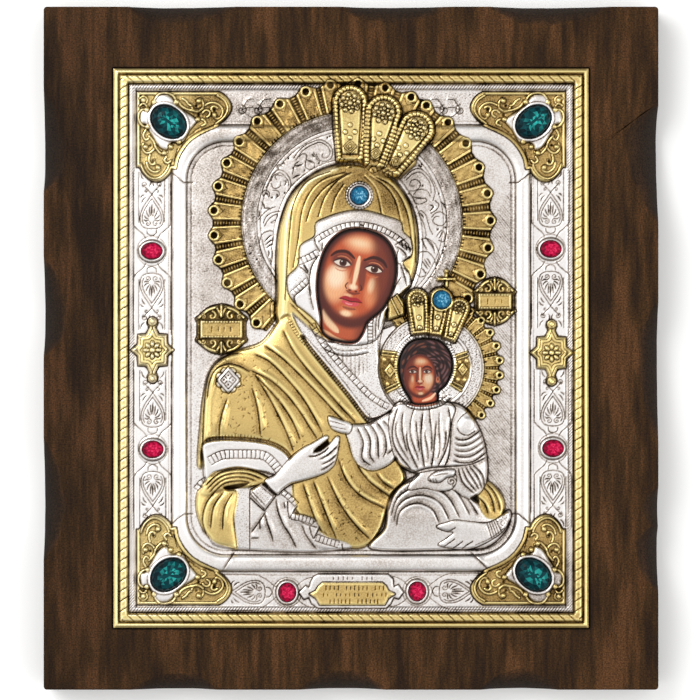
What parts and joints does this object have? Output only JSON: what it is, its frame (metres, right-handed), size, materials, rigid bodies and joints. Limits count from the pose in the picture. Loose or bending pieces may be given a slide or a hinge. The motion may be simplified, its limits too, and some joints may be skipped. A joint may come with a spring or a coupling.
{
  "type": "icon panel",
  "caption": "Devotional icon panel: a dark gouged wooden board with an embossed silver and gilt metal cover, painted faces in its openings and faceted glass stones.",
  "frame": {"origin": "centre of the bounding box in plan, on the flat back of the board", "axes": "+Z comes out of the picture face and is the thin direction; +Y is the top of the picture; +X is right as the picture is seen. The panel lies on its back."},
  "size_m": [0.27, 0.3, 0.0284],
  "materials": {
    "wood": "dark brown stain, satin, with darker gouged scoops",
    "cover": "embossed silver-plated sheet, partly gilded, blackened in the recesses",
    "painting": "painted and varnished in flesh and brown tones",
    "green_stone": "faceted deep blue-green glass",
    "red_stone": "faceted ruby-red glass",
    "blue_stone": "faceted sky-blue glass"
  },
  "bodies": {
    "root": {"wood_panel": "wood", "metal_cover": "cover", "mother_face_painting": "painting", "child_face_painting": "painting", "corner_stone_top_left": "green_stone", "corner_stone_top_right": "green_stone", "corner_stone_bottom_left": "green_stone", "corner_stone_bottom_right": "green_stone", "border_stone_left_upper": "red_stone", "border_stone_left_lower": "red_stone", "border_stone_right_upper": "red_stone", "border_stone_right_lower": "red_stone", "border_stone_bottom_left": "red_stone", "border_stone_bottom_right": "red_stone", "veil_star_stone": "blue_stone", "child_crown_stone": "blue_stone"}
  },
  "joints": []
}
